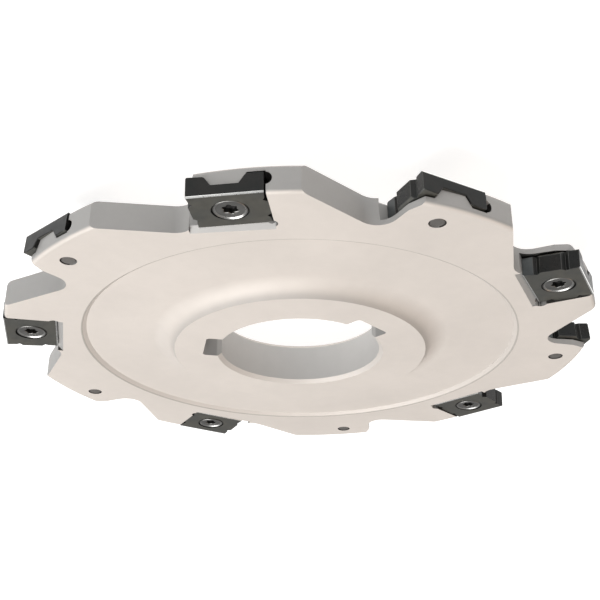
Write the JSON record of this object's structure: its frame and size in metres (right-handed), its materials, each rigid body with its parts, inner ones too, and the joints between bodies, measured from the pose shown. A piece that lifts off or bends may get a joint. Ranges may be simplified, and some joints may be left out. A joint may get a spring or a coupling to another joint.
{
  "type": "indexable slotting cutter",
  "caption": "Thin arbor-mounted slotting cutter: hubbed steel disc with keyed bore, recessed web, V gullets and staggered screw-clamped carbide inserts.",
  "frame": {"origin": "on the bore's axis, at the disc's mid-plane, halfway between the two hub faces", "axes": "+Z along the bore axis, out of the front face (the face of the odd-numbered inserts); +X through the middle of the first keyway; the cutter turns counter-clockwise seen from +Z"},
  "size_m": [0.0988, 0.0992, 0.0074],
  "materials": {
    "nickel_plated_steel": "satin nickel plate, warm pale grey",
    "coated_carbide": "dark grey coated carbide, satin, with bright honed edges",
    "screw_steel": "satin steel with a bright bevelled rim"
  },
  "bodies": {
    "cutter_body": {"cutter_body": "nickel_plated_steel"},
    "insert_01": {"insert_01": "coated_carbide"},
    "screw_01": {"screw_01": "screw_steel"},
    "insert_02": {"insert_02": "coated_carbide"},
    "screw_02": {"screw_02": "screw_steel"},
    "insert_03": {"insert_03": "coated_carbide"},
    "screw_03": {"screw_03": "screw_steel"},
    "insert_04": {"insert_04": "coated_carbide"},
    "screw_04": {"screw_04": "screw_steel"},
    "insert_05": {"insert_05": "coated_carbide"},
    "screw_05": {"screw_05": "screw_steel"},
    "insert_06": {"insert_06": "coated_carbide"},
    "screw_06": {"screw_06": "screw_steel"},
    "insert_07": {"insert_07": "coated_carbide"},
    "screw_07": {"screw_07": "screw_steel"},
    "insert_08": {"insert_08": "coated_carbide"},
    "screw_08": {"screw_08": "screw_steel"},
    "insert_09": {"insert_09": "coated_carbide"},
    "screw_09": {"screw_09": "screw_steel"},
    "insert_10": {"insert_10": "coated_carbide"},
    "screw_10": {"screw_10": "screw_steel"}
  },
  "joints": [
    {"name": "insert_01_lift", "type": "slide", "parent": "cutter_body", "child": "insert_01", "axis": [0, 0, 1], "range_m": [0, 0.0045]},
    {"name": "screw_01_turn", "type": "hinge", "parent": "insert_01", "child": "screw_01", "pos_m": [0.04501, 0.00338, 0.00202], "axis": [0, 0, 1], "range_deg": [0, 3600]},
    {"name": "insert_02_lift", "type": "slide", "parent": "cutter_body", "child": "insert_02", "axis": [0, 0, -1], "range_m": [0, 0.0045]},
    {"name": "screw_02_turn", "type": "hinge", "parent": "insert_02", "child": "screw_02", "pos_m": [0.03442, 0.02919, -0.00202], "axis": [0, 0, -1], "range_deg": [0, 3600]},
    {"name": "insert_03_lift", "type": "slide", "parent": "cutter_body", "child": "insert_03", "axis": [0, 0, 1], "range_m": [0, 0.0045]},
    {"name": "screw_03_turn", "type": "hinge", "parent": "insert_03", "child": "screw_03", "pos_m": [0.01069, 0.04385, 0.00202], "axis": [0, 0, 1], "range_deg": [0, 3600]},
    {"name": "insert_04_lift", "type": "slide", "parent": "cutter_body", "child": "insert_04", "axis": [0, 0, -1], "range_m": [0, 0.0045]},
    {"name": "screw_04_turn", "type": "hinge", "parent": "insert_04", "child": "screw_04", "pos_m": [-0.01713, 0.04176, -0.00202], "axis": [0, 0, -1], "range_deg": [0, 3600]},
    {"name": "insert_05_lift", "type": "slide", "parent": "cutter_body", "child": "insert_05", "axis": [0, 0, 1], "range_m": [0, 0.0045]},
    {"name": "screw_05_turn", "type": "hinge", "parent": "insert_05", "child": "screw_05", "pos_m": [-0.0384, 0.02372, 0.00202], "axis": [0, 0, 1], "range_deg": [0, 3600]},
    {"name": "insert_06_lift", "type": "slide", "parent": "cutter_body", "child": "insert_06", "axis": [0, 0, -1], "range_m": [0, 0.0045]},
    {"name": "screw_06_turn", "type": "hinge", "parent": "insert_06", "child": "screw_06", "pos_m": [-0.04501, -0.00338, -0.00202], "axis": [0, 0, -1], "range_deg": [0, 3600]},
    {"name": "insert_07_lift", "type": "slide", "parent": "cutter_body", "child": "insert_07", "axis": [0, 0, 1], "range_m": [0, 0.0045]},
    {"name": "screw_07_turn", "type": "hinge", "parent": "insert_07", "child": "screw_07", "pos_m": [-0.03442, -0.02919, 0.00202], "axis": [0, 0, 1], "range_deg": [0, 3600]},
    {"name": "insert_08_lift", "type": "slide", "parent": "cutter_body", "child": "insert_08", "axis": [0, 0, -1], "range_m": [0, 0.0045]},
    {"name": "screw_08_turn", "type": "hinge", "parent": "insert_08", "child": "screw_08", "pos_m": [-0.01069, -0.04385, -0.00202], "axis": [0, 0, -1], "range_deg": [0, 3600]},
    {"name": "insert_09_lift", "type": "slide", "parent": "cutter_body", "child": "insert_09", "axis": [0, 0, 1], "range_m": [0, 0.0045]},
    {"name": "screw_09_turn", "type": "hinge", "parent": "insert_09", "child": "screw_09", "pos_m": [0.01713, -0.04176, 0.00202], "axis": [0, 0, 1], "range_deg": [0, 3600]},
    {"name": "insert_10_lift", "type": "slide", "parent": "cutter_body", "child": "insert_10", "axis": [0, 0, -1], "range_m": [0, 0.0045]},
    {"name": "screw_10_turn", "type": "hinge", "parent": "insert_10", "child": "screw_10", "pos_m": [0.0384, -0.02372, -0.00202], "axis": [0, 0, -1], "range_deg": [0, 3600]}
  ],
  "couplings": [
    {"joint": "screw_01_turn", "follows": "insert_01_lift", "rad_per_m": 13963},
    {"joint": "screw_02_turn", "follows": "insert_02_lift", "rad_per_m": 13963},
    {"joint": "screw_03_turn", "follows": "insert_03_lift", "rad_per_m": 13963},
    {"joint": "screw_04_turn", "follows": "insert_04_lift", "rad_per_m": 13963},
    {"joint": "screw_05_turn", "follows": "insert_05_lift", "rad_per_m": 13963},
    {"joint": "screw_06_turn", "follows": "insert_06_lift", "rad_per_m": 13963},
    {"joint": "screw_07_turn", "follows": "insert_07_lift", "rad_per_m": 13963},
    {"joint": "screw_08_turn", "follows": "insert_08_lift", "rad_per_m": 13963},
    {"joint": "screw_09_turn", "follows": "insert_09_lift", "rad_per_m": 13963},
    {"joint": "screw_10_turn", "follows": "insert_10_lift", "rad_per_m": 13963}
  ]
}
